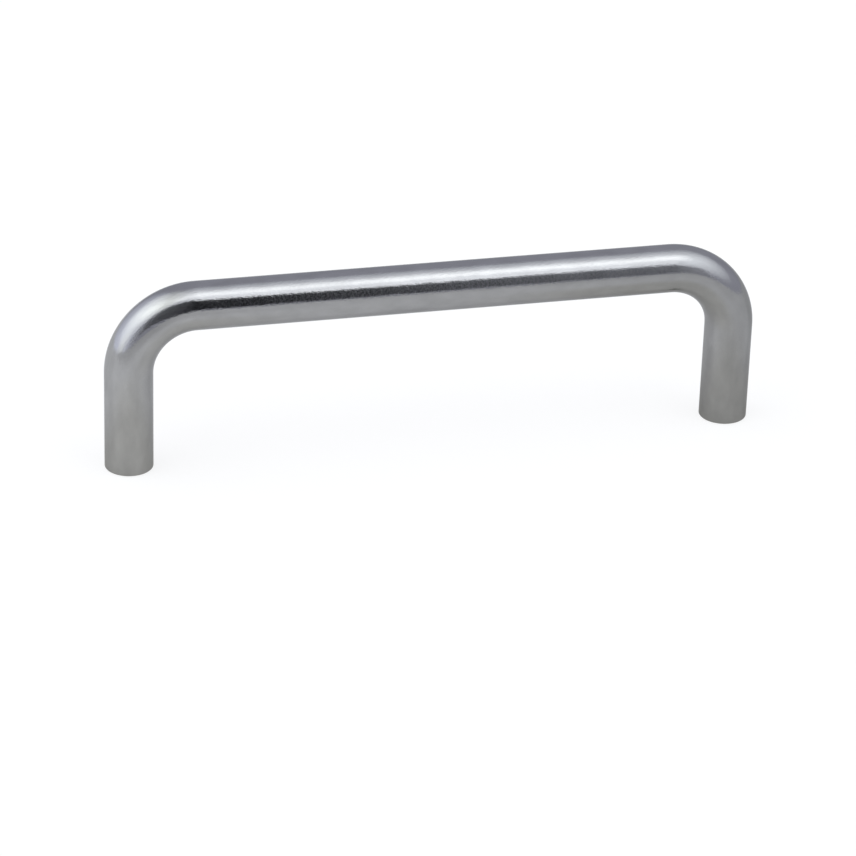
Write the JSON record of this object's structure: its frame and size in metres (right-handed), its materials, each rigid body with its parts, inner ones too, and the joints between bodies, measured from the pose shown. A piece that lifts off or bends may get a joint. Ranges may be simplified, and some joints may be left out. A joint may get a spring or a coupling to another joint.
{
  "type": "wire drawer pull",
  "caption": "U-shaped drawer pull bent from one round steel wire in a satin finish, with a blind tapped screw hole in each foot.",
  "frame": {"origin": "on the drawer front, midway between the two feet", "axes": "+X along the grip, +Z away from the drawer front, +Y across the wire; the pull stands on its feet as in the picture"},
  "size_m": [0.1096, 0.008, 0.032],
  "materials": {
    "satin_steel": "satin, finely grained along the wire"
  },
  "bodies": {
    "root": {"wire_pull": "satin_steel"}
  },
  "joints": []
}
